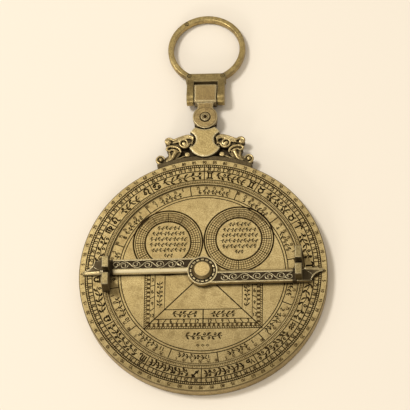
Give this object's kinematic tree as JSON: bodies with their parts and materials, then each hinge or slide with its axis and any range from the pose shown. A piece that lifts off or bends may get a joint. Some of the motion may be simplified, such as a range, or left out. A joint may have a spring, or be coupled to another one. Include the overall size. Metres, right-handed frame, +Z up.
{
  "type": "astrolabe",
  "caption": "Brass planispheric astrolabe lying on its front, engraved back up, with slotted-vane alidade, pierced scroll throne, swivel and finger ring.",
  "frame": {"origin": "centre of the bounding box at its base, on the surface that the rim's front face lies on", "axes": "+Z up, square to the disc, out of the engraved back; +Y from the disc towards the throne and the ring; +X to the right"},
  "size_m": [0.125, 0.2106, 0.0179],
  "materials": {
    "plate_brass": "satin, aged",
    "rim_brass": "satin, aged",
    "fitting_brass": "satin, aged",
    "cast_brass": "cast, dark in the recesses"
  },
  "bodies": {
    "mater": {"mater_plate": "plate_brass", "limb_ring": "rim_brass", "limb_dowels": "rim_brass", "tympan_rear": "plate_brass", "tympan_front": "plate_brass", "tympan_key": "rim_brass", "axis_pin": "fitting_brass", "horse_wedge": "fitting_brass", "front_washer": "fitting_brass", "shield_plate": "fitting_brass", "shield_rivets": "fitting_brass", "throne_pins": "rim_brass", "throne_base": "cast_brass", "scroll_right": "cast_brass", "scroll_left": "cast_brass", "swivel_rivet": "fitting_brass", "swivel_washer": "fitting_brass"},
    "alidade": {"alidade": "cast_brass", "vane_left": "fitting_brass", "vane_right": "fitting_brass"},
    "rete": {"rete": "plate_brass"},
    "rule": {"rule": "fitting_brass"},
    "swivel": {"swivel_link": "fitting_brass"},
    "ring": {"suspension_ring": "fitting_brass", "cross_pin": "fitting_brass"}
  },
  "joints": [
    {"name": "alidade_turn", "type": "hinge", "parent": "mater", "child": "alidade", "pos_m": [0, -0.04281, 0.0074], "axis": [0, 0, 1], "continuous": true},
    {"name": "rete_turn", "type": "hinge", "parent": "mater", "child": "rete", "pos_m": [0, -0.04281, 0.003], "axis": [0, 0, 1], "continuous": true},
    {"name": "rule_turn", "type": "hinge", "parent": "mater", "child": "rule", "pos_m": [0, -0.04281, 0.0025], "axis": [0, 0, 1], "continuous": true},
    {"name": "swivel_turn", "type": "hinge", "parent": "mater", "child": "swivel", "pos_m": [0, 0.0436, 0.0067], "axis": [0, 0, 1], "range_deg": [-80, 80]},
    {"name": "ring_swing", "type": "hinge", "parent": "swivel", "child": "ring", "pos_m": [0, 0.0555, 0.0052], "axis": [1, 0, 0], "range_deg": [-135, 135]}
  ]
}
